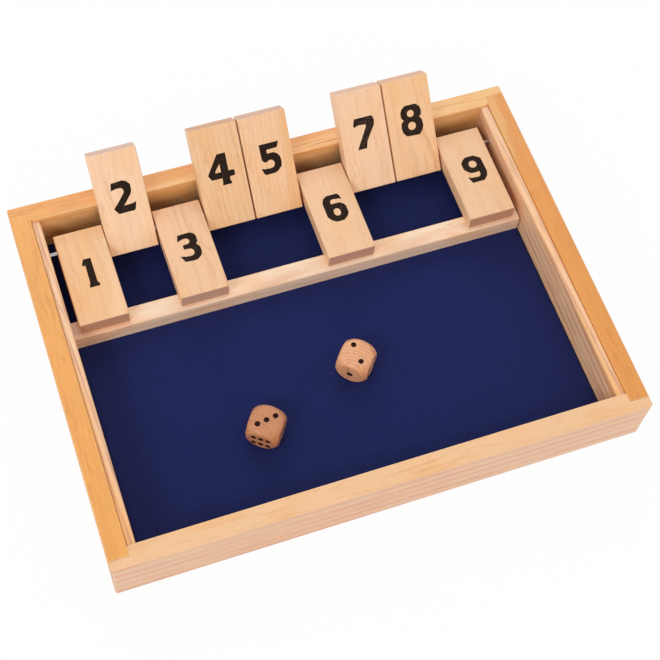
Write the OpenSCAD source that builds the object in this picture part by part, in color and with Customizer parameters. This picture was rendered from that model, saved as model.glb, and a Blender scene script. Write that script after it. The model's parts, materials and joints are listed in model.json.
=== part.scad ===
// Shut the box game: an open wooden tray with a felt floor, nine numbered tiles on one rod and
// two dice. Millimetres, +Z up, the width along X, the row of tiles at the back (+Y).
// The origin is the middle of the footprint, raised tiles included, on the table.

/* [Tray] */
// Thickness of the four outer rails
rail_t = 11; // [8:0.5:16]
// Height of the outer rails
tray_h = 35; // [32:0.5:45]
// Rounding of the outer rails' edges
rail_r = 0.8; // [0.3:0.1:1.5]
// Rounding of the tray's four upright corners
corner_r = 1.6; // [0.3:0.1:4]
// Depth of the rabbets in the front and back rails' ends, which take the side rails
rabbet_d = 5.5; // [4.5:0.5:7]
// Thickness of the thin liner strips inside the side rails
liner_t = 4.3; // [3:0.1:8]
// How far the liners stay below the top of the rails
liner_drop = 1.5; // [0.5:0.1:4]
// Rounding of the liners' top edge on the side of the felt
liner_r = 1.5; // [0.5:0.1:2.5]
// Height of the base panel above the table
panel_lift = 3; // [2:0.5:5]
// Thickness of the base panel
panel_t = 4; // [3:0.5:5]
// How far the base panel reaches into the groove of each rail
panel_bite = 3.5; // [2:0.5:5]
// Thickness of the felt
felt_t = 0.8; // [0.5:0.1:1.5]

/* [Play area] */
// Depth of the open play area, from the front rail to the stop rail
play_d = 124; // [100:1:160]
// Depth of the stop rail that the tiles rest on
stop_w = 11; // [9:0.5:14]
// Height of the stop rail above the felt
stop_h = 10.3; // [10:0.1:11.5]
// Rounding of the stop rail's top edges
stop_r = 1.2; // [0.5:0.1:2]

/* [Tiles] */
// Length of a tile
tile_len = 57.5; // [54:0.5:62]
// Width of a tile
tile_w = 27; // [24:0.5:32]
// Thickness of a tile
tile_t = 9.5; // [8:0.5:11]
// Rounding of a tile's edges
tile_r = 0.6; // [0.3:0.1:1.2]
// Mean gap between two tiles
tile_gap = 0.9; // [0.8:0.1:2]
// One step of the tiles' creep along the rod, which makes the gaps differ
creep_step = 0.1; // [0:0.01:0.12]
// Mean gap between the row of tiles and a liner
row_gap = 4.4; // [3:0.1:8]
// How far a lowered tile reaches over the stop rail
tile_rest = 8.7; // [5:0.1:9]
// Distance from a lowered tile's back end to the back rail
tail_gap = 8.2; // [6:0.1:12]

/* [Rod] */
// Diameter of the rod
rod_d = 2.5; // [2:0.1:4]
// Distance from a tile's back end to the rod's axis
rod_inset = 8.3; // [6:0.1:10]

/* [Numerals] */
// Height of a numeral
numeral_h = 18; // [12:0.5:20]
// Depth of the recess that a numeral is painted in
numeral_recess = 0.4; // [0.3:0.05:0.8]
// Thickness of the paint in the recess
paint_t = 0.3; // [0.1:0.05:0.3]
// Middle of a numeral from the tile's back end, on the face that shows when the tile is down
numeral_from_back = 27.4; // [22:0.1:32]
// Middle of a numeral from the tile's free end, on the face that shows when the tile is up
numeral_from_free = 25; // [20:0.1:32]
// One step of how far the numerals are printed off their places
print_step = 0.1; // [0:0.01:0.15]

/* [Dice] */
// Size of a die over its flat faces
die_size = 18; // [15:0.5:20]
// How far the ball that rounds a die stands proud of its faces
die_bulge = 2.7; // [2.5:0.1:3.5]
// Rounding where a die's flat faces run into the ball
die_soft = 1.9; // [0.5:0.1:2.1]
// Diameter of a pip
pip_d = 3; // [1.5:0.1:3]
// Diameter of the single pip of a one
one_pip_d = 3.5; // [1.5:0.1:4.5]
// Distance of the outer pips from the middle of a face, both ways
pip_pitch = 3.7; // [3.2:0.1:3.7]
// Distance of the two rows of a six from the middle of a face
six_row = 3.1; // [2:0.1:3.7]
// Distance of the outer pips of a six from the middle of their row
six_reach = 3.9; // [3.2:0.1:3.9]
// Depth of the hole that a pip's paint fills
pip_depth = 0.8; // [0.6:0.1:1.2]
// Depth of the hollow in a pip's paint
pip_hollow = 0.4; // [0.2:0.05:0.5]
// Width of the level rim round that hollow
pip_rim = 0.15; // [0.1:0.05:0.3]
// Middle of the first die from the middle of the play area, to the right
die_1_x = -47.7; // [-100:0.1:-25]
// Middle of the first die from the middle of the play area, to the back
die_1_y = -15.9; // [-35:0.1:35]
// Middle of the second die from the middle of the play area, to the right
die_2_x = 10; // [5:0.1:100]
// Middle of the second die from the middle of the play area, to the back
die_2_y = 6.1; // [-35:0.1:35]

/* [Clearances] */
// Play of the base panel in the height of its groove
groove_play = 0.1; // [0.05:0.05:0.3]
// Gap behind the base panel's edge in the groove
groove_gap = 0.5; // [0.2:0.1:1.5]
// Gap between a rail end and the bottom of its rabbet
joint_gap = 0.12; // [0.02:0.01:0.2]
// Gap round the felt
felt_gap = 0.3; // [0.1:0.1:1]
// Gap at each end of a liner
liner_gap = 0.1; // [0.05:0.05:0.5]
// Gap between a liner and its side rail
liner_seam = 0.2; // [0.05:0.05:0.5]
// Gap between the left end of the stop rail and the liner
stop_gap_left = 0.3; // [0.1:0.1:2]
// Gap between the right end of the stop rail and the liner
stop_gap_right = 1; // [0.1:0.1:2]
// Radial clearance of the rod in the tiles
rod_play = 0.08; // [0.03:0.01:0.1]
// Radial clearance of the rod in the liners
rod_fit = 0.05; // [0.02:0.01:0.1]
// Gap between each end of the rod and the side rail
rod_end_gap = 0.25; // [0.1:0.05:1]
// Gap between a raised tile and the edge that it leans on
lean_gap = 0.05; // [0.02:0.01:0.2]

/* [Hidden] */
$fn = 48;

// Overshoot of a cut past the surface that it opens
over = 1;

// The tiles, numbered from the left: which ones are raised
tiles = 9;
raised = [false, true, false, true, true, false, true, true, false];
// How many steps each tile has crept along the rod from its even place
creep = [0, -5, -4, -4, -4, -1, -3, -3, -2];
// How many steps each numeral is printed off its place, to the reader's right and down
print_shift = [
    [0, 3], [5, 8], [-3, 6], [0, -2], [5, 2], [5, 3], [5, -3], [5, -5], [13, -12]
];

// Widths, from the row of tiles outwards
row_w = tiles * tile_w + (tiles - 1) * tile_gap;
floor_side = row_w / 2 + row_gap;
rail_side = floor_side + liner_t + liner_seam;
tray_w = 2 * (rail_side + rail_t);

// Heights, from the table upwards
panel_top = panel_lift + panel_t;
felt_top = panel_top + felt_t;
stop_top = felt_top + stop_h;
rod_z = stop_top + tile_t / 2;
liner_top = tray_h - liner_drop;

// Depths: the free length of a tile runs from the rod's axis to the end over the stop rail
tile_free = tile_len - rod_inset;
inner_d = play_d + stop_w + tile_len - tile_rest + tail_gap;
tray_d = inner_d + 2 * rail_t;
rod_to_rail = tail_gap + rod_inset;

// A raised tile leans on the rounded inner edge of the back rail. The edge's centre line lies
// lean_y behind the rod and lean_z above it.
lean_y = rod_to_rail + rail_r;
lean_z = tray_h - rail_r - rod_z;
lean_reach = sqrt(lean_y * lean_y + lean_z * lean_z);
up_angle = 180 - atan2(lean_z, lean_y) - asin((tile_t / 2 + rail_r + lean_gap) / lean_reach);

// Depth of the rod and of a raised tile's top, both from the tray's front face
rod_depth = tray_d - rail_t - rod_to_rail;
top_depth = rod_depth - (tile_free - tile_r) * cos(up_angle)
    + (tile_t / 2 - tile_r) * sin(up_angle) + tile_r;

// Places along Y, with the whole footprint centred on the origin
front_y = -max(tray_d, top_depth) / 2;
inner_front = front_y + rail_t;
inner_back = inner_front + inner_d;
stop_y = inner_front + play_d;
rod_y = front_y + rod_depth;

// Depth of the groove that holds the base panel
groove_d = panel_bite + groove_gap;

// Left edge of a tile
function tile_x(k) = -row_w / 2 + (k - 1) * (tile_w + tile_gap) + creep[k - 1] * creep_step;

// Points along an arc about [x, y], both ends included
function arc(x, y, r, from, to, steps = 6) = [
    for (i = [0 : steps])
        let (a = from + (to - from) * i / steps) [x + r * cos(a), y + r * sin(a)]
];

// Rectangle with its corner at the origin and all four corners rounded
module rounded_rectangle(size, r) {
    translate([r, 0]) square([size.x - 2 * r, size.y]);
    translate([0, r]) square([size.x, size.y - 2 * r]);
    for (x = [r, size.x - r], y = [r, size.y - r])
        translate([x, y]) circle(r);
}

// Block with its corner at the origin and all twelve edges rounded, the upright ones by upright_r
module rounded_block(size, r, upright_r) {
    intersection() {
        linear_extrude(size.z) rounded_rectangle([size.x, size.y], upright_r);
        translate([0, size.y, 0])
            rotate([90, 0, 0])
                linear_extrude(size.y) rounded_rectangle([size.x, size.z], r);
        rotate([90, 0, 90])
            linear_extrude(size.x) rounded_rectangle([size.y, size.z], r);
    }
}

// What rounding takes off an edge that runs along +X from the origin, with the wood on the
// side of -Y and -Z
module edge_waste(length, r) {
    rotate([90, 0, 90])
        linear_extrude(length)
            difference() {
                translate([-r, -r]) square(r + over);
                translate([-r, -r]) circle(r);
            }
}

// Outer form of the tray as one rounded block
module tray_form() {
    translate([-tray_w / 2, front_y, 0])
        rounded_block([tray_w, tray_d, tray_h], rail_r, corner_r);
}

// What is cut out of the inside of the rails: the groove for the base panel and the rounding
// of the four inner top edges
module inner_cuts() {
    translate([-rail_side - groove_d, inner_front - groove_d, panel_lift])
        cube([
            2 * (rail_side + groove_d),
            inner_d + 2 * groove_d,
            panel_t + groove_play
        ]);
    translate([-rail_side, inner_front, tray_h])
        edge_waste(2 * rail_side, rail_r);
    translate([rail_side, inner_back, tray_h])
        rotate([0, 0, 180])
            edge_waste(2 * rail_side, rail_r);
    translate([-rail_side, inner_back + rail_r, tray_h])
        rotate([0, 0, -90])
            edge_waste(inner_d + 2 * rail_r, rail_r);
    translate([rail_side, inner_front - rail_r, tray_h])
        rotate([0, 0, 90])
            edge_waste(inner_d + 2 * rail_r, rail_r);
}

// The front rail (side -1) or the back rail (side 1), with its inner half cut away at both ends,
// where the side rails are let in
module long_rail(side) {
    low_y = side < 0 ? front_y : inner_back;
    rabbet_y = side < 0 ? inner_front - rabbet_d : inner_back - over;
    difference() {
        intersection() {
            tray_form();
            translate([-tray_w / 2, low_y, 0])
                cube([tray_w, rail_t, tray_h]);
        }
        inner_cuts();
        for (x = [-tray_w / 2 - over, rail_side])
            translate([x, rabbet_y, -over])
                cube([rail_t + over, rabbet_d + over, tray_h + 2 * over]);
    }
}

// The left (side -1) or right (side 1) rail, with its ends in the rabbets
module side_rail(side) {
    end_reach = rabbet_d - joint_gap;
    difference() {
        intersection() {
            tray_form();
            translate([side > 0 ? rail_side : -tray_w / 2, inner_front - end_reach, 0])
                cube([rail_t, inner_d + 2 * end_reach, tray_h]);
        }
        inner_cuts();
    }
}

module front_rail() {
    color("#e8c39a") long_rail(-1);
}

module back_rail() {
    color("#e2b98c") long_rail(1);
}

module left_rail() {
    color("#e0a566") side_rail(-1);
}

module right_rail() {
    color("#dfa468") side_rail(1);
}

// Upright strip on the base panel, a seam's width from the side rail, with its inner top edge
// rounded, bored for the rod
module liner(side) {
    length = inner_d - 2 * liner_gap;
    height = liner_top - panel_top;
    difference() {
        translate([side * floor_side, inner_back - liner_gap, panel_top])
            rotate([90, 0, 0])
                linear_extrude(length)
                    mirror([side < 0 ? 1 : 0, 0]) {
                        square([liner_t, height - liner_r]);
                        translate([liner_r, 0]) square([liner_t - liner_r, height]);
                        translate([liner_r, height - liner_r]) circle(liner_r);
                    }
        translate([side > 0 ? floor_side - over : -floor_side - liner_t - over, rod_y, rod_z])
            rotate([0, 90, 0])
                cylinder(h = liner_t + 2 * over, r = rod_d / 2 + rod_fit);
    }
}

module left_liner() {
    color("#ecd2ae") liner(-1);
}

module right_liner() {
    color("#e6c8a4") liner(1);
}

module stop_rail() {
    length = 2 * floor_side - stop_gap_left - stop_gap_right;
    color("#ebcda6")
        translate([-floor_side + stop_gap_left, stop_y, felt_top])
            rotate([90, 0, 90])
                linear_extrude(length) {
                    square([stop_w, stop_h - stop_r]);
                    translate([stop_r, 0]) square([stop_w - 2 * stop_r, stop_h]);
                    for (y = [stop_r, stop_w - stop_r])
                        translate([y, stop_h - stop_r]) circle(stop_r);
                }
}

module base_panel() {
    color("#d9bd93")
        translate([-rail_side - panel_bite, inner_front - panel_bite, panel_lift])
            cube([
                2 * (rail_side + panel_bite),
                inner_d + 2 * panel_bite,
                panel_t
            ]);
}

module felt() {
    color("#212656")
        translate([-floor_side + felt_gap, inner_front + felt_gap, panel_top])
            cube([
                2 * (floor_side - felt_gap),
                inner_d - 2 * felt_gap,
                felt_t
            ]);
}

module rod() {
    length = 2 * (rail_side - rod_end_gap);
    color("silver")
        translate([-length / 2, rod_y, rod_z])
            rotate([0, 90, 0])
                cylinder(h = length, d = rod_d);
}

// Places a tile's own frame on the rod and turns it as in the rest pose. In that frame the
// tile's left edge is at x = 0, the rod's axis at y = 0, z = 0 and the free end toward -Y.
module on_rod(k) {
    translate([tile_x(k), rod_y, rod_z])
        rotate([raised[k - 1] ? -up_angle : 0, 0, 0])
            children();
}

// Puts a flat numeral, drawn with its foot at y = 0 and its middle at x = 0, on both wide faces
// of a tile: z = 0 of the children lies on the face
module on_both_faces(k) {
    shift = print_shift[k - 1] * print_step;
    middle_x = tile_w / 2 + shift.x;
    foot = numeral_h / 2 + shift.y;
    translate([middle_x, rod_inset - numeral_from_back - foot, tile_t / 2])
        children();
    rotate([180, 0, 0])
        translate([middle_x, tile_free - numeral_from_free - foot, tile_t / 2])
            children();
}

module tile(k) {
    color("#edc596")
        on_rod(k)
            difference() {
                translate([0, -tile_free, -tile_t / 2])
                    rounded_block([tile_w, tile_len, tile_t], tile_r, tile_r);
                translate([-over, 0, 0])
                    rotate([0, 90, 0])
                        cylinder(h = tile_w + 2 * over, r = rod_d / 2 + rod_play);
                on_both_faces(k)
                    translate([0, 0, -numeral_recess])
                        linear_extrude(numeral_recess + over) digit(k);
            }
}

module numeral(k) {
    color("#1e1a1c")
        on_rod(k)
            on_both_faces(k)
                translate([0, 0, -numeral_recess])
                    linear_extrude(paint_t) digit(k);
}

// The nine digits, heavy and cut with straight chamfers, are drawn for a numeral 18 high
digit_scale = numeral_h / 18;
module digit(k) {
    scale(digit_scale) {
        if (k == 1) digit_1();
        if (k == 2) digit_2();
        if (k == 3) digit_3();
        if (k == 4) digit_4();
        if (k == 5) digit_5();
        if (k == 6) digit_6();
        if (k == 7) digit_7();
        if (k == 8) digit_8();
        if (k == 9) digit_9();
    }
}

module digit_1() {
    polygon([
        [-3.2, 14], [-1.8, 17.8], [-1.2, 18], [2.5, 18], [2.5, 3], [3.5, 1.2], [3.3, 0],
        [-2.3, 0], [-2.2, 1.2], [-1.5, 3], [-1.3, 14]
    ]);
}

module digit_2() {
    polygon(concat(
        [
            [-5.8, 13.4], [-4.8, 17.6], [1.5, 18], [3.6, 17.1], [5.3, 15], [5.3, 11.6],
            [4.5, 9.6], [-0.3, 4], [4.6, 4.2], [6.5, 4.9], [5.4, 0.8], [4.6, 0], [-4.1, 0],
            [-6.2, 3.2], [-1, 8.8]
        ],
        arc(-0.9, 12.1, 2, -35, 90),
        [[-2.9, 14.1]]
    ));
}

module digit_3() {
    polygon(concat(
        [
            [-5.3, 13.6], [-4.1, 17.7], [2.8, 17.9], [5, 16.5], [5.7, 14.6], [5.5, 11.4],
            [4.4, 9.9], [6, 7.8], [6, 4.4], [5.3, 2.4], [2.8, 0.3], [0.6, 0], [-4.4, 0.4],
            [-6.1, 4.5], [-3.4, 3.6]
        ],
        arc(-0.2, 5.6, 2.3, -100, 90),
        [[-3, 8.1], [-3.1, 10.5], [-2.5, 11]],
        arc(-0.5, 12.8, 1.8, -90, 90),
        [[-2.2, 14.6]]
    ));
}

module digit_4() {
    difference() {
        polygon([
            [-0.6, 18], [4.2, 18], [4.2, 7.7], [6.9, 7.7], [7.5, 6.8], [7.3, 4.3], [4.3, 4.1],
            [4.2, 2], [4.9, 1.2], [4.7, 0], [-0.5, 0], [-0.1, 2], [-0.1, 4.1], [-5.9, 4.1],
            [-7.6, 7], [-7.1, 8.1]
        ]);
        polygon([[-3.2, 7.7], [-3.2, 8.6], [-0.1, 12.4], [-0.1, 7.7]]);
    }
}

module digit_5() {
    polygon(concat(
        [
            [-4.9, 8.5], [-5.1, 17.5], [6.2, 17.5], [4.8, 14.1], [-1.3, 13.9], [-1.3, 11.8],
            [2.1, 11.9], [4.3, 10.7], [5.7, 8.6], [6, 6], [5.6, 3.2], [3.4, 0.9], [1.5, 0],
            [-3.8, 0], [-4.8, 0.7], [-6, 4], [-3.8, 3.4]
        ],
        arc(-0.4, 5.6, 2.4, -90, 100),
        [[-2.2, 7.1], [-3.6, 7.2]]
    ));
}

module digit_6() {
    difference() {
        polygon(concat(
            [
                [-4.9, 16.1], [-2.7, 17.6], [3.6, 17.6], [4.6, 16.4], [5.2, 13.5], [3.6, 14.2]
            ],
            arc(0.2, 12.7, 1.9, 60, 180),
            [
                [-1.7, 11.7], [3.3, 11.7], [5.1, 10.4], [6.1, 8.9], [6.2, 4.2], [4.8, 1.9],
                [2.3, 0], [-2.1, 0], [-4.6, 1.7], [-6.2, 4.2], [-6.2, 13.3]
            ]
        ));
        polygon(concat(arc(0.1, 6.5, 1.9, 0, 180), arc(0.1, 5.5, 1.9, 180, 360)));
    }
}

module digit_7() {
    polygon([
        [-6.2, 14.5], [-5.2, 18], [4.8, 18], [5.8, 17.1], [6.3, 15.1], [5.9, 12.6], [0.7, 4.1],
        [-0.3, 0], [-5.6, 0], [-4.5, 2.4], [1, 12.4], [1, 13.7], [-3.7, 14], [-5.9, 13]
    ]);
}

module digit_8() {
    difference() {
        polygon([
            [-3, 18.1], [3.5, 18.1], [5.7, 16.1], [6.3, 13.6], [6, 11.4], [4.8, 10.1],
            [6.2, 8.3], [6.5, 4.8], [5.6, 2.3], [3.7, 0], [-3.9, 0.5], [-6, 3], [-6.5, 6.1],
            [-6, 8.6], [-4.6, 10], [-5.9, 11.4], [-6, 14.2], [-5.1, 16.4]
        ]);
        translate([-0.1, 13.1]) circle(2);
        translate([-0.2, 5.9]) circle(2.3);
    }
}

module digit_9() {
    difference() {
        polygon(concat(
            [
                [-4.7, 15.9], [-2.5, 17.4], [2.5, 17.4], [6, 14.8], [6.3, 5.3], [5.3, 2.5],
                [2.8, 0], [-4.4, 0], [-5.8, 4.2], [-3.8, 3.4]
            ],
            arc(0, 5.1, 2, -90, 20),
            [[1.8, 6.7], [0.6, 6.2], [-2.9, 6.4], [-4.7, 7.8], [-6.2, 9.7], [-6.3, 13.7]]
        ));
        translate([0, 11.9]) circle(2.3);
    }
}

module tile_1() { tile(1); }
module tile_2() { tile(2); }
module tile_3() { tile(3); }
module tile_4() { tile(4); }
module tile_5() { tile(5); }
module tile_6() { tile(6); }
module tile_7() { tile(7); }
module tile_8() { tile(8); }
module tile_9() { tile(9); }
module numeral_1() { numeral(1); }
module numeral_2() { numeral(2); }
module numeral_3() { numeral(3); }
module numeral_4() { numeral(4); }
module numeral_5() { numeral(5); }
module numeral_6() { numeral(6); }
module numeral_7() { numeral(7); }
module numeral_8() { numeral(8); }
module numeral_9() { numeral(9); }

// The dice lie on the felt: place from the middle of the play area, and turn about Z
die_place = [[die_1_x, die_1_y], [die_2_x, die_2_y]];
die_turn = [-36.8, -42.5];
// The count of pips on each die's top, bottom, front, back, left and right face
die_count = [[3, 4, 6, 1, 2, 5], [2, 5, 1, 6, 3, 4]];
// Turn that brings the top face of a die to each of those faces
face_turn = [[0, 0, 0], [180, 0, 0], [90, 0, 0], [-90, 0, 0], [0, -90, 0], [0, 90, 0]];
// The quarter turn of the pips on each face, which shows on twos, threes and sixes
pip_turn = [[0, 0, 0, 0, 0, 0], [90, 0, 0, 0, 0, 0]];

// Places of the pips of a face, from its middle
function pips_of(count) =
    let (
        diagonal = [[-pip_pitch, -pip_pitch], [pip_pitch, pip_pitch]],
        corners = concat(diagonal, [[-pip_pitch, pip_pitch], [pip_pitch, -pip_pitch]])
    )
    count == 1 ? [[0, 0]] :
    count == 2 ? diagonal :
    count == 3 ? concat(diagonal, [[0, 0]]) :
    count == 4 ? corners :
    count == 5 ? concat(corners, [[0, 0]]) :
    [for (x = [-six_reach, 0, six_reach], y = [-six_row, six_row]) [x, y]];

// Radius of the ball whose cap is the hollow in the paint of a pip of diameter d
function hollow_ball_r(d) =
    let (hollow_r = d / 2 - pip_rim)
    (hollow_r * hollow_r + pip_hollow * pip_hollow) / (2 * pip_hollow);

// Places a die's own frame, with its centre at the origin
module on_felt(n) {
    translate([
        die_place[n - 1].x,
        inner_front + play_d / 2 + die_place[n - 1].y,
        felt_top + die_size / 2
    ])
        rotate([0, 0, die_turn[n - 1]])
            children();
}

// Turn of the seam that a turned form has, so that it runs clear of the pips
seam_turn = 17;

// Puts the children on each pip's place on all six faces of a die, with the face at z = 0.
// The children read the pip's diameter from $pip_d.
module at_pips(n) {
    for (f = [0 : 5])
        rotate(face_turn[f])
            rotate([0, 0, pip_turn[n - 1][f]])
                for (p = pips_of(die_count[n - 1][f]))
                    translate([p.x, p.y, die_size / 2]) {
                        $pip_d = die_count[n - 1][f] == 1 ? one_pip_d : pip_d;
                        children();
                    }
}

// A ball with flats at its top and bottom. A ring rounds the edge between a flat and the ball,
// and runs into the ball at meet_z.
module flattened_ball() {
    ball_r = die_size / 2 + die_bulge;
    ring_z = die_size / 2 - die_soft;
    ring_x = sqrt(pow(ball_r - die_soft, 2) - ring_z * ring_z);
    meet_z = ring_z * ball_r / (ball_r - die_soft);
    rotate([0, 0, seam_turn])
        rotate_extrude() {
            intersection() {
                circle(ball_r);
                translate([0, -meet_z]) square([ball_r, 2 * meet_z]);
            }
            translate([0, -die_size / 2]) square([ring_x, die_size]);
            for (z = [-ring_z, ring_z])
                translate([ring_x, z]) circle(die_soft);
        }
}

module die(n) {
    color("#d9ae84")
        on_felt(n)
            difference() {
                intersection() {
                    flattened_ball();
                    rotate([90, 0, 0]) flattened_ball();
                    rotate([0, 90, 0]) flattened_ball();
                }
                at_pips(n)
                    translate([0, 0, -pip_depth])
                        cylinder(h = pip_depth + over, d = $pip_d);
            }
}

module pips(n) {
    color("#1a1718")
        on_felt(n)
            at_pips(n)
                difference() {
                    translate([0, 0, -pip_depth]) cylinder(h = pip_depth, d = $pip_d);
                    translate([0, 0, hollow_ball_r($pip_d) - pip_hollow])
                        sphere(hollow_ball_r($pip_d));
                }
}

module die_1() { die(1); }
module die_2() { die(2); }
module pips_1() { pips(1); }
module pips_2() { pips(2); }

front_rail();
back_rail();
left_rail();
right_rail();
left_liner();
right_liner();
stop_rail();
base_panel();
felt();
rod();
tile_1();
tile_2();
tile_3();
tile_4();
tile_5();
tile_6();
tile_7();
tile_8();
tile_9();
numeral_1();
numeral_2();
numeral_3();
numeral_4();
numeral_5();
numeral_6();
numeral_7();
numeral_8();
numeral_9();
die_1();
die_2();
pips_1();
pips_2();
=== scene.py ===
"""The looks of a shut the box game: varnished pine rails, a felt floor, painted number tiles on
a steel rod and two tumbled wooden dice, on a pale table under soft light."""

import json
import math

import bmesh
import bpy
from mathutils import Euler, Matrix, Vector, noise


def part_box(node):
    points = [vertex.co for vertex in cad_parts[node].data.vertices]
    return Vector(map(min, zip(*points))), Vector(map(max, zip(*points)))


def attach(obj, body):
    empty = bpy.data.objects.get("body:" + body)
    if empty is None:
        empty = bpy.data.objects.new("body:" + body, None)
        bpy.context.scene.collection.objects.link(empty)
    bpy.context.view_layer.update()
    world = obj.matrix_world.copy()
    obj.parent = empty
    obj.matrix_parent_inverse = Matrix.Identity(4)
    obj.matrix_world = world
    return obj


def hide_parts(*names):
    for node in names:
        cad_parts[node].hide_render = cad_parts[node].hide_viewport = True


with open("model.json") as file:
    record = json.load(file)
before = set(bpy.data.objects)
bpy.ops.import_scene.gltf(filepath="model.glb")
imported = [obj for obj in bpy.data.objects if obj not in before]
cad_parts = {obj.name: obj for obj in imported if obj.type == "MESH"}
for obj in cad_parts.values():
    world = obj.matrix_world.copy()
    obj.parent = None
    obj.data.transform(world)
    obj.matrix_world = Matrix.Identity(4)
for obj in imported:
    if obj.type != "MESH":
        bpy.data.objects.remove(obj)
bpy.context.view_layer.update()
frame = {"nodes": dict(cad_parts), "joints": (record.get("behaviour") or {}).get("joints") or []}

MM = 0.001
nodes = frame["nodes"]

# The camera, from the middle of the tray's underside, in metres, the way it looks, and its lens
# and sensor in millimetres
CAMERA_FROM_TRAY = (-0.15119, -0.32967, 0.70620)
CAMERA_RIGHT = (0.94309, -0.32763, 0.05682)
CAMERA_FORWARD = (0.19805, 0.41619, -0.88745)
CAMERA_LENS = 78.4
CAMERA_SENSOR = 36.0

# How the two dice lie, turned about Z, in degrees
DIE_TURN = {1: -36.8, 2: -42.5}

# How far the table reaches from its middle, and how far from the game each lamp stands, in metres
TABLE_REACH = 3.0
LAMP_DISTANCE = 3.0

# The felt, in millimetres: a cell of its mesh, how uneven its top is, how far its nap stands, how
# far its cut edge strays inwards, and how far that edge is pressed down
FELT_CELL = 2.0
FELT_UNEVEN = 0.12
FELT_NAP = 0.05
FELT_STRAY = 0.22
FELT_EDGE_DROP = 0.3


def srgb(red, green, blue):
    """A colour given as it looks on screen, 0 to 255, for a shader socket."""
    linear = []
    for channel in (red, green, blue):
        c = channel / 255
        linear.append(c / 12.92 if c <= 0.04045 else ((c + 0.055) / 1.055) ** 2.4)
    return (*linear, 1.0)


# Small helpers for shader nodes


def place(tree, kind, **settings):
    """Adds a node and sets its options."""
    node = tree.nodes.new(kind)
    for name, value in settings.items():
        setattr(node, name, value)
    return node


def feed(tree, socket, value):
    """Links value into socket, or writes it there where it is a plain number or colour."""
    if isinstance(value, bpy.types.NodeSocket):
        tree.links.new(value, socket)
    elif value is not None:
        socket.default_value = value


def maths(tree, operation, a, b=None, c=None):
    """Works on plain numbers. MULTIPLY_ADD gives a times b, plus c."""
    node = place(tree, "ShaderNodeMath", operation=operation)
    for socket, value in zip(node.inputs, (a, b, c)):
        feed(tree, socket, value)
    return node.outputs[0]


def vector_maths(tree, operation, a, b=None):
    """Works on vectors. LENGTH gives a plain number."""
    node = place(tree, "ShaderNodeVectorMath", operation=operation)
    for socket, value in zip(node.inputs, (a, b)):
        feed(tree, socket, value)
    return node.outputs["Value" if operation == "LENGTH" else "Vector"]


def split(tree, vector):
    """The three parts of a vector, named X, Y and Z."""
    node = place(tree, "ShaderNodeSeparateXYZ")
    feed(tree, node.inputs[0], vector)
    return node.outputs


def vary(tree, mask, spread, middle=1.0):
    """From half the spread under middle to half of it over middle, as mask goes from 0 to 1."""
    return maths(tree, "MULTIPLY_ADD", mask, spread, middle - spread / 2)


def ramp(tree, value, low, high, to_low=0.0, to_high=1.0):
    """A soft step from to_low, at low and under it, to to_high, at high and over it."""
    node = place(tree, "ShaderNodeMapRange", interpolation_type="SMOOTHSTEP")
    for socket, number in zip(node.inputs, (value, low, high, to_low, to_high)):
        feed(tree, socket, number)
    return node.outputs[0]


def cloud(tree, vector, stretch, detail=2.0, roughness=0.5):
    """Smooth noise, 0 to 1, of vector scaled by stretch along each axis."""
    node = place(tree, "ShaderNodeTexNoise")
    feed(tree, node.inputs["Vector"], vector_maths(tree, "MULTIPLY", vector, stretch))
    node.inputs["Scale"].default_value = 1.0
    node.inputs["Detail"].default_value = detail
    node.inputs["Roughness"].default_value = roughness
    return node.outputs["Fac"]


def tint(tree, factor, a, b):
    """Colour a turning to colour b as factor goes from 0 to 1."""
    node = place(tree, "ShaderNodeMix", data_type="RGBA")
    feed(tree, node.inputs[0], factor)
    feed(tree, node.inputs[6], a)
    feed(tree, node.inputs[7], b)
    return node.outputs[2]


def brighten(tree, colour, value):
    """The colour made lighter or darker by value, where 1 leaves it as it is."""
    node = place(tree, "ShaderNodeHueSaturation")
    feed(tree, node.inputs["Value"], value)
    feed(tree, node.inputs["Color"], colour)
    return node.outputs[0]


def new_group(name, inputs, outputs):
    """An empty node group with named sockets. Each input is (name, kind, default), and each
    output (name, kind)."""
    tree = bpy.data.node_groups.new(name, "ShaderNodeTree")
    for label, kind, default in inputs:
        socket = tree.interface.new_socket(label, in_out="INPUT", socket_type=kind)
        socket.default_value = default
    for label, kind in outputs:
        tree.interface.new_socket(label, in_out="OUTPUT", socket_type=kind)
    given = place(tree, "NodeGroupInput").outputs
    result = place(tree, "NodeGroupOutput").inputs
    return tree, given, result


def use_group(tree, group, **values):
    """Puts a group in a material. An input's name is written with _ for each space."""
    node = place(tree, "ShaderNodeGroup", node_tree=group)
    for name, value in values.items():
        feed(tree, node.inputs[name.replace("_", " ")], value)
    return node.outputs


FLOAT, VECTOR = "NodeSocketFloat", "NodeSocketVector"

# The unevenness of wood: how many waves of each kind there are in a millimetre, along the grain
# and twice across it
SWAY_WAVES = (0.012, 0.03, 0.03)
RIPPLE_WAVES = (0.045, 0.14, 0.14)
FADE_WAVES = (0.022, 0.07, 0.07)
FIBRE_WAVES = (0.045, 1.5, 1.5)
STREAK_WAVES = (0.02, 0.62, 0.62)
FLECK_WAVES = (0.24, 2.2, 2.2)
FLECK_PATCH_WAVES = (0.03, 0.06, 0.06)
DRIFT_WAVES = (0.026, 0.07, 0.07)
GRAIN_WAVES = (0.055, 0.6, 0.6)
DASH_PATCH_WAVES = (0.018, 0.05, 0.05)
EDGE_CHIP_WAVES = (0.35, 0.35, 0.35)

# How far each step of the seed moves a board through that noise, in millimetres, and through the
# rings' strengths
SEED_STEPS = (371.0, 113.0, 57.0)
SEED_RING_STEP = 7.3

# How softly heartwood turns to sapwood and how far the grain's lines are bent, in millimetres
HEART_SOFTNESS = 2.5
GRAIN_BEND = 9.0


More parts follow.
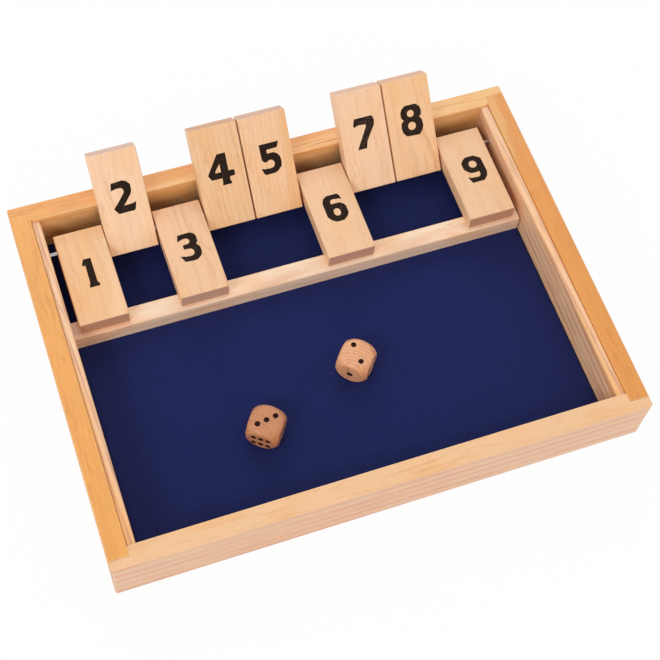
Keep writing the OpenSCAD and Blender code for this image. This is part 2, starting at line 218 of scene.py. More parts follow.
def make_pine_figure():
    """The figure of sawn pine. Growth rings are tubes about a pith that lies beside the board,
    leans along it and sways, so faces show stripes and ends show arcs. Grain and Dash are short
    wavy lines between the rings. Board is the place in the board, in millimetres, with X along
    the grain."""
    tree, given, result = new_group(
        "pine_figure",
        [
            ("Board", VECTOR, (0, 0, 0)),
            ("Pith", VECTOR, (0, 0, -60)),
            ("Lean", VECTOR, (0, 0, 0)),
            ("Ring Width", FLOAT, 3.0),
            ("Late Share", FLOAT, 0.25),
            ("Sway", FLOAT, 3.0),
            ("Heart Edge", FLOAT, 0.0),
            ("Seed", FLOAT, 0.0),
        ],
        [
            ("Late Wood", FLOAT), ("Sapwood", FLOAT), ("Fibre", FLOAT), ("Streak", FLOAT),
            ("Fleck", FLOAT), ("Drift", FLOAT), ("Grain", FLOAT), ("Dash", FLOAT),
        ],
    )
    offset = place(tree, "ShaderNodeCombineXYZ")
    for socket, step in zip(offset.inputs, SEED_STEPS):
        feed(tree, socket, maths(tree, "MULTIPLY", given["Seed"], step))
    at = vector_maths(tree, "ADD", given["Board"], offset.outputs[0])

    along = place(tree, "ShaderNodeVectorMath", operation="SCALE")
    feed(tree, along.inputs[0], given["Lean"])
    feed(tree, along.inputs["Scale"], split(tree, given["Board"])["X"])
    across = vector_maths(tree, "MULTIPLY", given["Board"], (0, 1, 1))
    across = vector_maths(tree, "ADD", across, along.outputs[0])
    sway = maths(tree, "SUBTRACT", cloud(tree, at, SWAY_WAVES), 0.5)
    ripple = cloud(tree, at, RIPPLE_WAVES, detail=3.0, roughness=0.55)
    ripple = maths(tree, "SUBTRACT", ripple, 0.5)
    radius = vector_maths(tree, "LENGTH", vector_maths(tree, "SUBTRACT", across, given["Pith"]))
    for wobble, times in ((sway, 2.0), (ripple, 0.5)):
        reach = maths(tree, "MULTIPLY", given["Sway"], times)
        radius = maths(tree, "MULTIPLY_ADD", wobble, reach, radius)

    # Late wood darkens through the last part of each ring, then stops at once
    rings = maths(tree, "DIVIDE", radius, given["Ring Width"])
    phase = maths(tree, "FRACT", rings)
    begins = maths(tree, "MULTIPLY_ADD", given["Late Share"], -1.5, 1.0)
    full = maths(tree, "MULTIPLY_ADD", given["Late Share"], -0.35, 1.0)
    darkens = ramp(tree, phase, low=begins, high=full)
    stops = ramp(tree, phase, low=0.95, high=1.0, to_low=1.0, to_high=0.0)
    late = maths(tree, "MULTIPLY", darkens, stops)

    # Each ring has its own strength, and fades in and out over the board
    year = place(tree, "ShaderNodeTexWhiteNoise", noise_dimensions="1D")
    ring_number = maths(tree, "FLOOR", rings)
    first_ring = maths(tree, "MULTIPLY", given["Seed"], SEED_RING_STEP)
    feed(tree, year.inputs["W"], maths(tree, "ADD", ring_number, first_ring))
    grown = maths(tree, "MULTIPLY_ADD", year.outputs["Value"], 0.75, 0.25)
    fades = ramp(tree, cloud(tree, at, FADE_WAVES), low=0.34, high=0.62, to_low=0.25)
    late = maths(tree, "MULTIPLY", late, maths(tree, "MULTIPLY", grown, fades))
    feed(tree, result["Late Wood"], late)

    outside = maths(tree, "SUBTRACT", radius, given["Heart Edge"])
    feed(tree, result["Sapwood"], ramp(tree, outside, -HEART_SOFTNESS, HEART_SOFTNESS))
    feed(tree, result["Fibre"], cloud(tree, at, FIBRE_WAVES, detail=4.0, roughness=0.65))
    streaks = cloud(tree, at, STREAK_WAVES)
    feed(tree, result["Streak"], ramp(tree, streaks, low=0.56, high=0.72))
    flecks = ramp(tree, cloud(tree, at, FLECK_WAVES, detail=1.0), low=0.62, high=0.74)
    here = ramp(tree, cloud(tree, at, FLECK_PATCH_WAVES, detail=1.0), low=0.42, high=0.62)
    feed(tree, result["Fleck"], maths(tree, "MULTIPLY", flecks, here))
    feed(tree, result["Drift"], cloud(tree, at, DRIFT_WAVES))

    bend = place(tree, "ShaderNodeCombineXYZ")
    feed(tree, bend.inputs["Y"], maths(tree, "MULTIPLY", ripple, GRAIN_BEND))
    feed(tree, bend.inputs["Z"], maths(tree, "MULTIPLY", sway, GRAIN_BEND))
    wavy = vector_maths(tree, "ADD", at, bend.outputs[0])
    grain = cloud(tree, wavy, GRAIN_WAVES)
    dashes = ramp(tree, grain, low=0.52, high=0.68)
    there = ramp(tree, cloud(tree, at, DASH_PATCH_WAVES, detail=1.0), low=0.46, high=0.62)
    feed(tree, result["Grain"], grain)
    feed(tree, result["Dash"], maths(tree, "MULTIPLY", dashes, there))
    return tree


def make_box_edge():
    """How near a point of a squared block is to one of its edges: 1 on it, 0 at Reach from it,
    broken up by fine noise. Half is the block's half size."""
    tree, given, result = new_group(
        "box_edge",
        [("Board", VECTOR, (0, 0, 0)), ("Half", VECTOR, (10, 10, 10)), ("Reach", FLOAT, 1.0)],
        [("Edge", FLOAT)],
    )
    depth = vector_maths(
        tree, "SUBTRACT", given["Half"], vector_maths(tree, "ABSOLUTE", given["Board"])
    )
    x, y, z = [
        ramp(tree, axis, low=0.0, high=given["Reach"], to_low=1.0, to_high=0.0)
        for axis in split(tree, depth)
    ]
    pairs = [maths(tree, "MULTIPLY", a, b) for a, b in ((x, y), (y, z), (x, z))]
    edge = maths(tree, "MAXIMUM", maths(tree, "MAXIMUM", pairs[0], pairs[1]), pairs[2])
    chips = cloud(tree, given["Board"], EDGE_CHIP_WAVES, detail=3.0)
    chips = ramp(tree, chips, low=0.3, high=0.7, to_low=0.3)
    feed(tree, result["Edge"], maths(tree, "MULTIPLY", edge, chips))
    return tree


PINE_FIGURE = make_pine_figure()
BOX_EDGE = make_box_edge()


class Board:
    """Where a wooden piece lies: its centre, the turn that lays its grain along X, and its
    half size in those axes in millimetres."""

    def __init__(self, centre, turn_degrees, half_mm):
        self.centre = Vector(centre)
        self.turn = Euler([math.radians(a) for a in turn_degrees])
        self.half = Vector(half_mm)


def board_of(node, grain="X"):
    """The board of a node that lies square, its grain along X or Y."""
    low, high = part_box(node)
    half = (high - low) / 2 / MM
    if grain == "Y":
        return Board((low + high) / 2, (0, 0, -90), (half.y, half.x, half.z))
    return Board((low + high) / 2, (0, 0, 0), half)


JOINTS = {joint["child"]: joint for joint in frame["joints"]}


def raised_by(k):
    """How far tile k is turned up at rest, in degrees."""
    return -JOINTS[f"tile_{k}_body"]["range_deg"][0]


def tile_board(k):
    """The board of tile k, raised or not, its grain along the tile's length."""
    flat = next(n for n in range(1, 10) if raised_by(n) == 0)
    low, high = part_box(f"tile_{flat}")
    rod = Vector(JOINTS[f"tile_{k}_body"]["pos_m"])
    from_rod = Vector((0, (low.y + high.y) / 2 - rod.y, (low.z + high.z) / 2 - rod.z))
    from_rod.rotate(Euler((math.radians(-raised_by(k)), 0, 0)))
    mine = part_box(f"tile_{k}")
    centre = Vector(((mine[0].x + mine[1].x) / 2, rod.y, rod.z)) + from_rod
    half = (high - low) / 2 / MM
    return Board(centre, (raised_by(k), 0, -90), (half.y, half.x, half.z))


def die_board(n):
    """The board of a die, its grain upright, so that the top shows the ends of the rings."""
    low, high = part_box(f"die_{n}")
    half = (high.z - low.z) / 2 / MM
    square = Matrix.Rotation(math.radians(-DIE_TURN[n]), 3, "Z")
    upright = (Matrix.Rotation(math.radians(90), 3, "Y") @ square).to_euler()
    return Board((low + high) / 2, [math.degrees(a) for a in upright], (half, half, half))


def new_material(name):
    """An empty material and its shader."""
    material = bpy.data.materials.new(name)
    material.use_nodes = True
    tree = material.node_tree
    return material, tree, tree.nodes["Principled BSDF"]


def board_place(tree, board):
    """The place in the board in millimetres, and the surface's direction in its axes."""
    given = place(tree, "ShaderNodeTexCoord")
    centred = vector_maths(tree, "SUBTRACT", given.outputs["Object"], board.centre)
    turned = []
    for kind, vector, scale in (
        ("POINT", centred, (1 / MM,) * 3), ("VECTOR", given.outputs["Normal"], (1, 1, 1))
    ):
        node = place(tree, "ShaderNodeMapping", vector_type=kind)
        feed(tree, node.inputs["Vector"], vector)
        node.inputs["Rotation"].default_value = board.turn
        node.inputs["Scale"].default_value = scale
        turned.append(node.outputs[0])
    return turned


def add_bump(tree, shader, height, distance_mm, strength):
    """Lets height stand out from the surface, by distance_mm for a height of 1."""
    bump = place(tree, "ShaderNodeBump")
    bump.inputs["Distance"].default_value = distance_mm * MM
    bump.inputs["Strength"].default_value = strength
    feed(tree, bump.inputs["Height"], height)
    feed(tree, shader.inputs["Normal"], bump.outputs[0])


TONES = ("early", "heart", "late", "streak", "end", "edge")

# No channel of a wood's colour goes over this
PALEST = 0.98


def toned(look, red, green, blue, **changes):
    """The same wood with other changes, and with all its colours multiplied."""
    new = dict(look, **changes)
    for name in TONES:
        r, g, b, _ = new[name]
        new[name] = (min(r * red, PALEST), min(g * green, PALEST), min(b * blue, PALEST), 1.0)
    return new


def cut_wood(look, tone, end_tone, **changes):
    """A toned wood whose ends have a tone of their own besides."""
    new = toned(look, *tone, **changes)
    new["end"] = (*[channel * times for channel, times in zip(new["end"], end_tone)], 1.0)
    return new


# What the woods of this game look like. Colours are early wood, heartwood, late wood, streaks,
# end grain and the rubbed edges; sizes are in millimetres; the rest are strengths.
TILE = dict(
    early=srgb(246, 205, 164), heart=srgb(240, 190, 136), late=srgb(216, 158, 108),
    streak=srgb(224, 168, 120), end=srgb(222, 180, 158), edge=srgb(246, 210, 172),
    ring=2.6, share=0.3, sway=3.2, depth=0.55, streaks=0.3, dashes=0.4, grain=0.05,
    fibre=0.09, fleck=0.22, amber=0.5, drift=0.09, rough=0.46, coat=0.10, polish=0.22,
)
RAIL = dict(
    early=srgb(244, 196, 144), heart=srgb(238, 168, 96), late=srgb(218, 140, 72),
    streak=srgb(216, 132, 62), end=srgb(214, 158, 112), edge=srgb(250, 208, 156),
    ring=6.4, share=0.5, sway=5.0, depth=0.28, streaks=0.4, dashes=0.35, grain=0.14,
    fibre=0.14, fleck=0.16, amber=0.5, drift=0.16, rough=0.36, coat=0.30, polish=0.3,
)
LEFT_RAIL = toned(RAIL, 0.99, 0.985, 0.80)
RIGHT_RAIL = toned(RAIL, 0.91, 0.81, 0.56)
BACK_RAIL = toned(RAIL, 1.0, 0.99, 0.84, streaks=0.7)
FRONT_RAIL = toned(
    RAIL, 0.98, 0.96, 0.87, early=srgb(242, 198, 157), late=srgb(224, 130, 102), ring=7.6,
    share=0.35, sway=2.0, depth=0.95, streaks=0.3, dashes=0.15, grain=0.12, amber=0.3, drift=0.08,
)
LINER = toned(
    RAIL, 1.07, 0.99, 0.88, early=srgb(242, 206, 172), heart=srgb(238, 184, 128),
    late=srgb(188, 132, 108), streak=srgb(196, 140, 110), end=srgb(206, 160, 128), ring=3.4,
    share=0.4, sway=1.4, depth=0.8, streaks=0.8, dashes=0.45, amber=0.3, rough=0.42, coat=0.18,
)
STOP_RAIL = toned(
    TILE, 1.09, 1.03, 1.03, early=srgb(252, 223, 194), ring=5.0, share=0.4, streaks=0.3,
)
DICE = dict(
    early=srgb(222, 170, 128), heart=srgb(206, 144, 96), late=srgb(166, 106, 72),
    streak=srgb(180, 120, 84), end=srgb(220, 168, 126), edge=srgb(226, 180, 140),
    ring=2.0, share=0.6, sway=1.8, depth=0.32, streaks=0.2, dashes=0.4, grain=0.4,
    fibre=0.14, fleck=0.10, amber=0.3, drift=0.06, rough=0.44, coat=0.35, polish=0.32,
)
PLYWOOD = dict(
    early=srgb(226, 190, 144), heart=srgb(220, 178, 128), late=srgb(204, 158, 108),
    streak=srgb(200, 154, 106), end=srgb(190, 148, 108), edge=srgb(214, 178, 134),
    ring=9.0, share=0.5, sway=26.0, depth=0.5, streaks=0.3, dashes=0.4, grain=0.2,
    fibre=0.14, fleck=0.2, amber=0.4, drift=0.1, rough=0.7, coat=0.0, polish=0.3,
)


# How far rubbed edges reach, in millimetres, and how pale they are rubbed
EDGE_REACH = 1.1
EDGE_RUB = 0.35

# How dark the rings are on a board's ends, and how much of the end grain's colour shows there
END_RINGS = 0.8
END_GRAIN = 0.9

# How much the fibres change the roughness, and how much rougher the ends are
FIBRE_ROUGHNESS = 0.16
END_ROUGHNESS = 0.2

# How far late wood and flecks lie under the rest, as a share of the fibres' height
LATE_WOOD_DIP = 0.3
FLECK_DIP = 0.8


def pine(name, board, look, pith, seed, lean=(0, 0, 0), heart_edge=0.0):
    """Sawn and varnished pine, with its figure, fibres, end grain and rubbed edges."""
    material, tree, shader = new_material(name)
    at, facing = board_place(tree, board)
    figure = use_group(
        tree, PINE_FIGURE,
        Board=at, Pith=pith, Lean=lean, Ring_Width=look["ring"], Late_Share=look["share"],
        Sway=look["sway"], Heart_Edge=heart_edge, Seed=seed,
    )
    edge = use_group(tree, BOX_EDGE, Board=at, Half=board.half, Reach=EDGE_REACH)["Edge"]

    patches = ramp(tree, figure["Drift"], low=0.48, high=0.66, to_high=look["amber"])
    sapwood = maths(tree, "SUBTRACT", figure["Sapwood"], patches)
    side = tint(tree, sapwood, look["heart"], look["early"])
    for mark, strength, mark_colour in (
        ("Streak", look["streaks"], look["streak"]),
        ("Dash", look["dashes"], look["streak"]),
        ("Late Wood", look["depth"], look["late"]),
    ):
        side = tint(tree, maths(tree, "MULTIPLY", figure[mark], strength), side, mark_colour)
    along = maths(tree, "ABSOLUTE", split(tree, facing)["X"])
    end = ramp(tree, along, low=0.55, high=0.95)
    end_rings = maths(tree, "MULTIPLY", figure["Late Wood"], END_RINGS)
    end_grain = tint(tree, end_rings, look["end"], look["late"])
    colour = tint(tree, maths(tree, "MULTIPLY", end, END_GRAIN), side, end_grain)
    colour = tint(tree, maths(tree, "MULTIPLY", edge, EDGE_RUB), colour, look["edge"])

    value = vary(tree, figure["Fibre"], look["fibre"])
    drift = vary(tree, figure["Drift"], look["drift"], middle=0.0)
    grain = vary(tree, figure["Grain"], -look["grain"], middle=0.0)
    value = maths(tree, "ADD", maths(tree, "ADD", value, drift), grain)
    value = maths(tree, "MULTIPLY_ADD", figure["Fleck"], -look["fleck"], value)
    feed(tree, shader.inputs["Base Color"], brighten(tree, colour, value))

    rough = vary(tree, figure["Fibre"], FIBRE_ROUGHNESS, middle=look["rough"])
    rough = maths(tree, "MULTIPLY_ADD", end, END_ROUGHNESS, rough)
    feed(tree, shader.inputs["Roughness"], rough)
    shader.inputs["Coat Weight"].default_value = look["coat"]
    shader.inputs["Coat Roughness"].default_value = look["polish"]

    height = maths(tree, "MULTIPLY_ADD", figure["Late Wood"], -LATE_WOOD_DIP, figure["Fibre"])
    height = maths(tree, "MULTIPLY_ADD", figure["Fleck"], -FLECK_DIP, height)
    add_bump(tree, shader, height, distance_mm=0.05, strength=0.6)
    return material


# The paint of the numerals, that of the pips, either one where it is rubbed thin, and a painted
# reflection, a lighter dark brown, at the bottom of a hollow pip
NUMERAL_PAINT = srgb(39, 27, 21)
PIP_PAINT = srgb(27, 15, 11)
THIN_PAINT = srgb(92, 78, 68)
PIP_PAINTED_GLINT = srgb(56, 24, 14)

# The depths in a pip at which its painted reflection begins and is full, in millimetres
PIP_GLINT_FROM = 0.2
PIP_GLINT_FULL = 0.4

# How gritty the paint of most numerals is, how much of that wear a pip shows, and how much the
# wood's fibres change the paint's tone and its roughness
USUAL_GRIT = 0.15
PIP_WEAR = 0.3
PAINT_FIBRE = 0.7
PAINT_FIBRE_ROUGHNESS = 0.3


def black_paint(name, board, seed, grit=USUAL_GRIT, hollow=False):
    """Black paint in a recess, rubbed thin in specks and along the wood's fibres. In a hollow
    pip it is worn less, and a painted reflection turns it a lighter dark brown towards the
    bottom."""
    material, tree, shader = new_material(name)
    at, _ = board_place(tree, board)
    figure = use_group(tree, PINE_FIGURE, Board=at, Seed=seed)
    specks = cloud(tree, at, stretch=(0.9, 1.9, 1.9), detail=3.0, roughness=0.6)
    specks = ramp(tree, specks, low=0.5, high=0.66)
    thin = maths(tree, "MAXIMUM", maths(tree, "MULTIPLY", specks, grit), figure["Fleck"])
    if hollow:
        thin = maths(tree, "MULTIPLY", thin, PIP_WEAR)
        x, y, z = split(tree, vector_maths(tree, "ABSOLUTE", at))
        outermost = maths(tree, "MAXIMUM", maths(tree, "MAXIMUM", x, y), z)
        depth = maths(tree, "SUBTRACT", board.half.z, outermost)
        # Painted reflection: the pip's paint turns a lighter dark brown towards its bottom,
        # standing in for light caught in the hollow
        painted_glint = ramp(tree, depth, PIP_GLINT_FROM, PIP_GLINT_FULL)
        colour = tint(tree, painted_glint, tint(tree, thin, PIP_PAINT, THIN_PAINT), PIP_PAINTED_GLINT)
    else:
        colour = tint(tree, thin, NUMERAL_PAINT, THIN_PAINT)
    value = vary(tree, figure["Fibre"], PAINT_FIBRE)
    feed(tree, shader.inputs["Base Color"], brighten(tree, colour, value))
    rough = vary(tree, figure["Fibre"], PAINT_FIBRE_ROUGHNESS, middle=0.65)
    feed(tree, shader.inputs["Roughness"], rough)
    shader.inputs["Specular IOR Level"].default_value = 0.07
    add_bump(tree, shader, figure["Fibre"], distance_mm=0.05, strength=0.6)
    return material


def drawn_steel(name):
    """The steel of a drawn rod: fine lines along it and duller smudges."""
    bright = srgb(176, 174, 178)
    dull = srgb(140, 138, 144)
    material, tree, shader = new_material(name)
    at, _ = board_place(tree, board_of("rod"))
    lines = cloud(tree, at, stretch=(0.02, 9.0, 9.0), detail=3.0)
    smudge = cloud(tree, at, stretch=(0.08, 0.4, 0.4))
    feed(tree, shader.inputs["Base Color"], tint(tree, smudge, bright, dull))
    feed(tree, shader.inputs["Roughness"], vary(tree, lines, spread=0.15, middle=0.155))
    shader.inputs["Metallic"].default_value = 1.0
    add_bump(tree, shader, lines, distance_mm=0.01, strength=0.5)
    return material


def blue_felt(name):
    """Dense blue felt: a short nap of fibres pressed flat, a little uneven in tone."""
    between_fibres = srgb(22, 29, 74)
    fibres = srgb(33, 43, 100)
    fibre_tips = srgb(120, 130, 220)
    material, tree, shader = new_material(name)
    given = place(tree, "ShaderNodeTexCoord")
    at = vector_maths(tree, "MULTIPLY", given.outputs["Object"], (1 / MM,) * 3)
    bend = place(tree, "ShaderNodeTexNoise")
    feed(tree, bend.inputs["Vector"], vector_maths(tree, "MULTIPLY", at, (0.6,) * 3))
    bent = place(tree, "ShaderNodeMix", data_type="VECTOR")
    bent.inputs[0].default_value = 0.25
    feed(tree, bent.inputs[4], at)
    feed(tree, bent.inputs[5], vector_maths(tree, "ADD", at, bend.outputs["Color"]))
    nap = cloud(tree, bent.outputs[1], stretch=(2.2, 2.2, 2.2), detail=5.0, roughness=0.7)
    tufts = cloud(tree, at, stretch=(0.35, 0.28, 0.3), detail=3.0, roughness=0.6)
    wear = cloud(tree, at, stretch=(0.012, 0.015, 0.01))
    colour = tint(tree, ramp(tree, nap, low=0.3, high=0.7), between_fibres, fibres)
    value = vary(tree, tufts, spread=0.12)
    value = maths(tree, "ADD", value, vary(tree, wear, spread=0.12, middle=0.0))
    feed(tree, shader.inputs["Base Color"], brighten(tree, colour, value))
    feed(tree, shader.inputs["Roughness"], vary(tree, nap, spread=0.1, middle=0.91))
    shader.inputs["Specular IOR Level"].default_value = 0.15
    shader.inputs["Sheen Weight"].default_value = 0.06
    shader.inputs["Sheen Roughness"].default_value = 0.5
    shader.inputs["Sheen Tint"].default_value = fibre_tips
    height = maths(tree, "MULTIPLY_ADD", tufts, 0.6, nap)
    add_bump(tree, shader, height, distance_mm=0.12, strength=0.7)
    return material


def dress(node, material):
    """Gives a node of the frame its finish."""
    for slot in nodes[node].material_slots:
        slot.material = material


# Each board of the tray is sawn from its own place in a tree: the way its grain runs, its wood,
# where the pith lies from its middle, the seed, how the pith leans, and where the heartwood ends
TRAY_CUTS = {
    "front_rail": ("X", FRONT_RAIL, (0, 6, -151.6), 1.0, (0, 0, 0.014), 0),
    "back_rail": ("X", BACK_RAIL, (0, 110, 69), 2.3, (0, 0, -0.13), 120.6),
    "left_rail": ("Y", LEFT_RAIL, (0, 30, -46), 3.1, (0, 0, 0), 80),
    "right_rail": ("Y", RIGHT_RAIL, (0, -44, -30), 4.7, (0, 0.05, 0), 70.5),
    "left_liner": ("Y", LINER, (0, 40, 8), 5.9, (0, -0.04, 0), 38),
    "right_liner": ("Y", LINER, (0, 60, 40), 6.4, (0, -0.032, 0), 63.5),
    "stop_rail": ("X", STOP_RAIL, (0, 18, -60), 7.2, (0, 0, 0), 0),
    "base_panel": ("X", PLYWOOD, (0, 10, -120), 8.8, (0, 0, 0), 0),
}


def dress_tray():
    """Rails, liners, stop rail, base and rod."""
    for name, (grain, look, pith, seed, lean, heart_edge) in TRAY_CUTS.items():
        finish = pine(f"{name}_pine", board_of(name, grain), look, pith, seed, lean, heart_edge)
        dress(name, finish)
    dress("rod", drawn_steel("rod_steel"))


# Each tile is sawn from its own place in a tree as well: its tone and that of its ends (red,
# green, blue), the pith, how far the pith leans sideways, where the heartwood ends, how strong
# the late wood is, and the seed
TILE_CUTS = {
    1: ((1.00, 0.96, 0.90), (0.80, 0.71, 0.64), (0, 4, -60), 0.02, 64, 0.30, 21.2),
    2: ((1.06, 1.11, 1.17), (0.96, 0.97, 1.00), (0, 34, 50), 0.00, 20, 0.30, 16.57),
    3: ((0.95, 0.90, 0.87), (0.90, 0.96, 0.98), (0, -30, -46), 0.03, 50, 0.40, 21.44),
    4: ((0.98, 0.95, 0.84), (0.97, 0.87, 0.86), (0, -46, 30), 0.06, 20, 0.45, 26.31),
    5: ((1.02, 1.00, 0.96), (0.95, 0.97, 1.04), (0, -60, 20), -0.04, 57, 0.35, 24.84),
    6: ((0.95, 0.92, 0.90), (0.86, 0.80, 0.78), (0, 10, -70), 0.00, 20, 0.25, 29.71),
    7: ((1.04, 1.06, 1.10), (1.06, 1.08, 1.07), (0, -20, 70), 0.00, 20, 0.20, 31.41),
    8: ((1.02, 0.98, 0.88), (1.04, 1.03, 1.07), (0, 8, 40), 0.09, 34, 0.50, 33.11),
    9: ((0.93, 0.90, 0.88), (0.86, 0.75, 0.66), (0, -14, -66), 0.01, 20, 0.30, 34.81),
}

# How gritty the paint of the two more worn numerals is
WORN_PAINT = {7: 0.9, 8: 0.5}


def dress_tiles():
    """The nine tiles and their numerals."""
    for k, (tone, end_tone, pith, lean, heart_edge, depth, seed) in TILE_CUTS.items():
        board = tile_board(k)
        look = cut_wood(TILE, tone, end_tone, depth=depth)
        finish = pine(f"tile_{k}_pine", board, look, pith, seed, (0, lean, 0), heart_edge)
        dress(f"tile_{k}", finish)
        grit = WORN_PAINT.get(k, USUAL_GRIT)
        paint = black_paint(f"numeral_{k}_paint", board, seed, grit)
        dress(f"numeral_{k}", paint)


# Each die's tone and that of its ends, its pith, and the seeds of its wood and of its paint
DICE_CUTS = {
    1: ((0.88, 0.72, 0.59), (0.90, 0.84, 0.82), (0, -14, 4), 33.3, 41.0),
    2: ((1.15, 1.04, 0.98), (0.97, 0.98, 0.98), (0, -14, -1), 36.6, 42.0),
}


def dress_dice():
    """The two dice and their pips."""
    for n, (tone, end_tone, pith, seed, paint_seed) in DICE_CUTS.items():
        board = die_board(n)
        look = cut_wood(DICE, tone, end_tone)
        dress(f"die_{n}", pine(f"die_{n}_wood", board, look, pith, seed))
        dress(f"pips_{n}", black_paint(f"pips_{n}_paint", board, paint_seed, hollow=True))


def swell(x, y, layer, waves):
    """Smooth noise on the felt, 0 to 1, with so many waves in a metre. Each layer has its own
    pattern."""
    return noise.noise(Vector((x, y, layer)) * waves) * 0.5 + 0.5


def felt_floor():
    """The felt laid on the base: a slightly uneven sheet whose wavy cut edge is pressed down."""
    low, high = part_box("felt")
    columns = round((high.x - low.x) / (FELT_CELL * MM))
    rows = round((high.y - low.y) / (FELT_CELL * MM))
    mesh = bmesh.new()
    top = []
    for j in range(rows + 1):
        row = []
        for i in range(columns + 1):
            x = low.x + (high.x - low.x) * i / columns
            y = low.y + (high.y - low.y) * j / rows
            hollows = FELT_UNEVEN * swell(x, y, layer=0, waves=45)
            nap = FELT_NAP * swell(x, y, layer=3, waves=260)
            z = high.z - (hollows + nap) * MM
            if i in (0, columns) or j in (0, rows):
                stray = FELT_STRAY * MM * swell(x, y, layer=7, waves=180)
                x -= stray * ((i == columns) - (i == 0))
                y -= stray * ((j == rows) - (j == 0))
                z -= FELT_EDGE_DROP * MM
            row.append(mesh.verts.new((x, y, z)))
        top.append(row)
    for j in range(rows):
        for i in range(columns):
            mesh.faces.new((top[j][i], top[j][i + 1], top[j + 1][i + 1], top[j + 1][i]))
    rim = (
        top[0][:-1]
        + [row[-1] for row in top[:-1]]
        + top[-1][:0:-1]
        + [row[0] for row in top[:0:-1]]
    )
    foot = [mesh.verts.new((v.co.x, v.co.y, low.z)) for v in rim]
    for n, v in enumerate(rim):
        m = (n + 1) % len(rim)
        mesh.faces.new((rim[m], v, foot[n], foot[m]))
    mesh.faces.new(foot[::-1])
    for face in mesh.faces:
        face.smooth = True
    data = bpy.data.meshes.new("felt_sheet")
    mesh.to_mesh(data)
    mesh.free()
    piece = bpy.data.objects.new("felt_sheet", data)
    bpy.context.scene.collection.objects.link(piece)
    data.materials.append(blue_felt("blue_felt"))
    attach(piece, "tray")
    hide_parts("felt")


# The studio

# The light of the room on the game, and how strong it is
ROOM_LIGHT = (1.0, 0.975, 0.885, 1.0)
ROOM_STRENGTH = 0.53

# The table as soft light finds it, the table as it is seen, and how much of what is seen of it
# glows by itself, which keeps the game's shadow on it faint
TABLE_IN_LIGHT = srgb(205, 205, 205)
TABLE_SEEN = srgb(250, 250, 250)
TABLE_GLOW = 0.95

WHITE = (1, 1, 1, 1)


def seen_directly(tree):
    """1 for what the camera sees, straight or in a mirror or glass, and 0 for soft light."""
    path = place(tree, "ShaderNodeLightPath").outputs
    seen = maths(tree, "MAXIMUM", path["Is Camera Ray"], path["Is Glossy Ray"])
    return maths(tree, "MAXIMUM", seen, path["Is Transmission Ray"])


def make_world():
    """A white background, and a warmer, dimmer room that lights the game."""
    world = bpy.data.worlds.new("studio")
    world.use_nodes = True
    bpy.context.scene.world = world
    tree = world.node_tree
    tree.nodes.clear()
    room = place(tree, "ShaderNodeBackground")
    room.inputs["Color"].default_value = ROOM_LIGHT
    room.inputs["Strength"].default_value = ROOM_STRENGTH
    white = place(tree, "ShaderNodeBackground")
    white.inputs["Color"].default_value = WHITE
    white.inputs["Strength"].default_value = 1.0
    both = place(tree, "ShaderNodeMixShader")
    feed(tree, both.inputs[0], seen_directly(tree))
    feed(tree, both.inputs[1], room.outputs[0])
    feed(tree, both.inputs[2], white.outputs[0])
    out = place(tree, "ShaderNodeOutputWorld")
    feed(tree, out.inputs["Surface"], both.outputs[0])


def make_floor():
    """A white table top that keeps a faint shadow of the game."""
    data = bpy.data.meshes.new("table")
    corners = [
        (TABLE_REACH * x, TABLE_REACH * y, 0) for x, y in ((-1, -1), (1, -1), (1, 1), (-1, 1))
    ]
    data.from_pydata(corners, [], [(0, 1, 2, 3)])
    table = bpy.data.objects.new("table", data)
    bpy.context.scene.collection.objects.link(table)
    material, tree, shader = new_material("table_white")
    direct = seen_directly(tree)
    feed(tree, shader.inputs["Base Color"], tint(tree, direct, TABLE_IN_LIGHT, TABLE_SEEN))
    shader.inputs["Roughness"].default_value = 0.9
    shader.inputs["Specular IOR Level"].default_value = 0.1
    glow = place(tree, "ShaderNodeEmission")
    glow.inputs["Color"].default_value = WHITE
    glow.inputs["Strength"].default_value = 1.0
    both = place(tree, "ShaderNodeMixShader")
    feed(tree, both.inputs[0], maths(tree, "MULTIPLY", direct, TABLE_GLOW))
    feed(tree, both.inputs[1], shader.outputs[0])
    feed(tree, both.inputs[2], glow.outputs[0])
    feed(tree, tree.nodes["Material Output"].inputs["Surface"], both.outputs[0])
    data.materials.append(material)


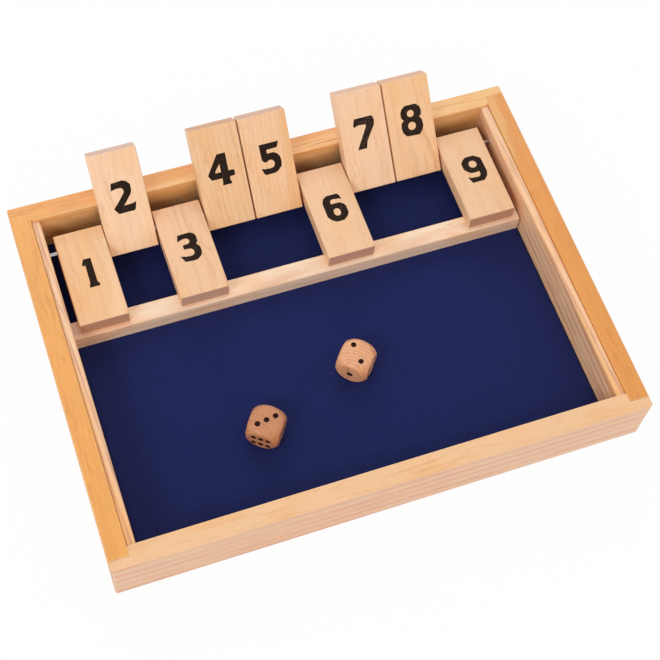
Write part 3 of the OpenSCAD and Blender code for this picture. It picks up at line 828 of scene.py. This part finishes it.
def make_lamp(name, towards, size, watts, colour):
    """A square soft lamp in the direction towards, seen from the game, turned to face it. Its
    size is in metres."""
    light = bpy.data.lights.new(name, "AREA")
    light.shape = "SQUARE"
    light.size = size
    light.energy = watts
    light.color = colour
    lamp = bpy.data.objects.new(name, light)
    bpy.context.scene.collection.objects.link(lamp)
    direction = Vector(towards).normalized()
    lamp.location = direction * LAMP_DISTANCE
    lamp.rotation_mode = "QUATERNION"
    lamp.rotation_quaternion = (-direction).to_track_quat("-Z", "Y")


def make_lights():
    """A small key lamp from the front left, and larger ones all round that soften its shadows."""
    cool = (0.965, 1.0, 1.10)
    reddish = (1.40, 1.04, 1.02)
    make_lamp("key", (-0.60, -0.42, 0.68), 0.9, 21.8, cool)
    make_lamp("back", (0.15, 0.85, 0.65), 2.0, 24.5, cool)
    make_lamp("front", (0.10, -1.00, 0.35), 2.4, 14.2, reddish)
    make_lamp("right", (0.90, -0.10, 0.50), 2.0, 12.8, cool)
    make_lamp("left", (-0.90, 0.10, 0.35), 2.0, 15.1, cool)


def make_camera():
    """The camera, standing where the reference view is taken from."""
    low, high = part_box("front_rail")[0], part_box("back_rail")[1]
    tray_middle = Vector(((low.x + high.x) / 2, (low.y + high.y) / 2, 0))
    data = bpy.data.cameras.new("camera")
    data.sensor_width = CAMERA_SENSOR
    data.lens = CAMERA_LENS
    data.clip_start = 0.01
    camera = bpy.data.objects.new("camera", data)
    bpy.context.scene.collection.objects.link(camera)
    right = Vector(CAMERA_RIGHT).normalized()
    forward = Vector(CAMERA_FORWARD).normalized()
    up = right.cross(forward)
    turn = camera.matrix_world.to_3x3()
    for column, axis in enumerate((right, up, -forward)):
        turn.col[column] = axis
    camera.matrix_world = turn.to_4x4()
    camera.location = tray_middle + Vector(CAMERA_FROM_TRAY)
    bpy.context.scene.camera = camera


make_camera()
make_world()
make_floor()
make_lights()
dress_tray()
dress_tiles()
dress_dice()
felt_floor()
bpy.context.scene.view_settings.view_transform = "Standard"
